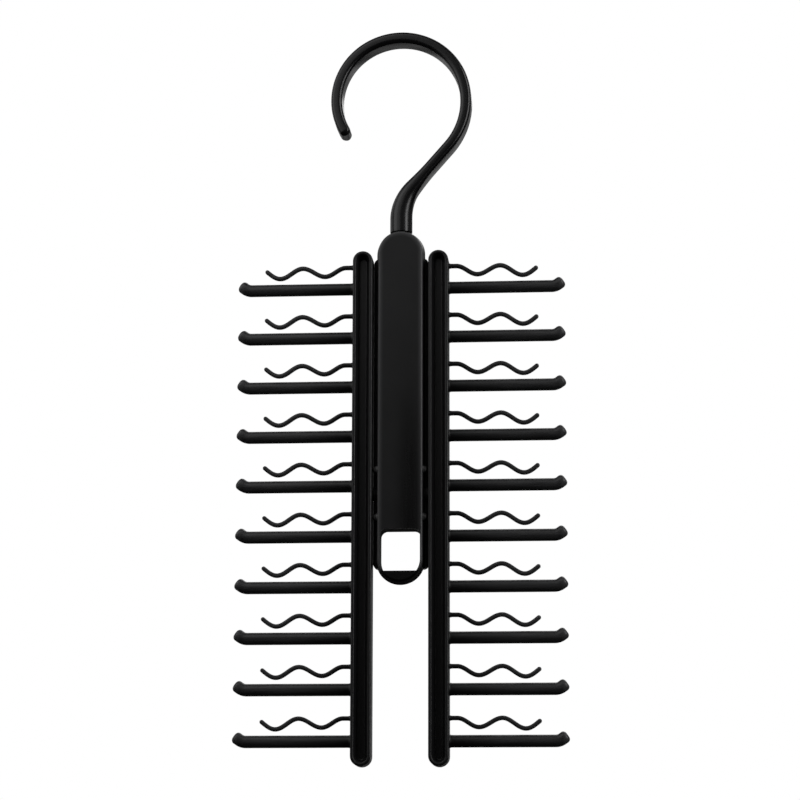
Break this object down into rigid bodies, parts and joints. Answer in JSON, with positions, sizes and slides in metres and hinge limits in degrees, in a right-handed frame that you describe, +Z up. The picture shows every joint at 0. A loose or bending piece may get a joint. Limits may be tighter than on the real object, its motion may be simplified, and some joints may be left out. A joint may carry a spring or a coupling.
{
  "type": "tie hanger",
  "caption": "Swivel-hook tie hanger: a slim body between turning combs of upturned tie bars with wavy grip fingers, and a foot hole for hanging another hanger.",
  "frame": {"origin": "top of the hook's inner curve, where the closet rod bears, on the swivel axis and in the middle of the depth", "axes": "+Z up along the swivel axis, X along the tie bars, -Y to the front"},
  "size_m": [0.1442, 0.011, 0.3258],
  "materials": {
    "hook_plastic": "black, moulded, satin gloss",
    "body_plastic": "black, moulded, fine matt texture",
    "comb_plastic": "black, moulded, satin"
  },
  "bodies": {
    "hook": {"hook": "hook_plastic"},
    "housing": {"front_shell": "body_plastic", "rear_shell": "body_plastic"},
    "left_comb": {"left_rail": "comb_plastic", "left_tie_bar_01": "comb_plastic", "left_grip_finger_01": "comb_plastic", "left_tie_bar_02": "comb_plastic", "left_grip_finger_02": "comb_plastic", "left_tie_bar_03": "comb_plastic", "left_grip_finger_03": "comb_plastic", "left_tie_bar_04": "comb_plastic", "left_grip_finger_04": "comb_plastic", "left_tie_bar_05": "comb_plastic", "left_grip_finger_05": "comb_plastic", "left_tie_bar_06": "comb_plastic", "left_grip_finger_06": "comb_plastic", "left_tie_bar_07": "comb_plastic", "left_grip_finger_07": "comb_plastic", "left_tie_bar_08": "comb_plastic", "left_grip_finger_08": "comb_plastic", "left_tie_bar_09": "comb_plastic", "left_grip_finger_09": "comb_plastic", "left_tie_bar_10": "comb_plastic", "left_grip_finger_10": "comb_plastic"},
    "right_comb": {"right_rail": "comb_plastic", "right_tie_bar_01": "comb_plastic", "right_grip_finger_01": "comb_plastic", "right_tie_bar_02": "comb_plastic", "right_grip_finger_02": "comb_plastic", "right_tie_bar_03": "comb_plastic", "right_grip_finger_03": "comb_plastic", "right_tie_bar_04": "comb_plastic", "right_grip_finger_04": "comb_plastic", "right_tie_bar_05": "comb_plastic", "right_grip_finger_05": "comb_plastic", "right_tie_bar_06": "comb_plastic", "right_grip_finger_06": "comb_plastic", "right_tie_bar_07": "comb_plastic", "right_grip_finger_07": "comb_plastic", "right_tie_bar_08": "comb_plastic", "right_grip_finger_08": "comb_plastic", "right_tie_bar_09": "comb_plastic", "right_grip_finger_09": "comb_plastic", "right_tie_bar_10": "comb_plastic", "right_grip_finger_10": "comb_plastic"}
  },
  "joints": [
    {"name": "hook_swivel", "type": "hinge", "parent": "hook", "child": "housing", "pos_m": [0, 0, -0.087], "axis": [0, 0, 1], "continuous": true},
    {"name": "left_comb_turn", "type": "hinge", "parent": "housing", "child": "left_comb", "pos_m": [-0.0166, 0, -0.2039], "axis": [1, 0, 0], "continuous": true},
    {"name": "right_comb_turn", "type": "hinge", "parent": "housing", "child": "right_comb", "pos_m": [0.0166, 0, -0.2039], "axis": [1, 0, 0], "continuous": true}
  ]
}
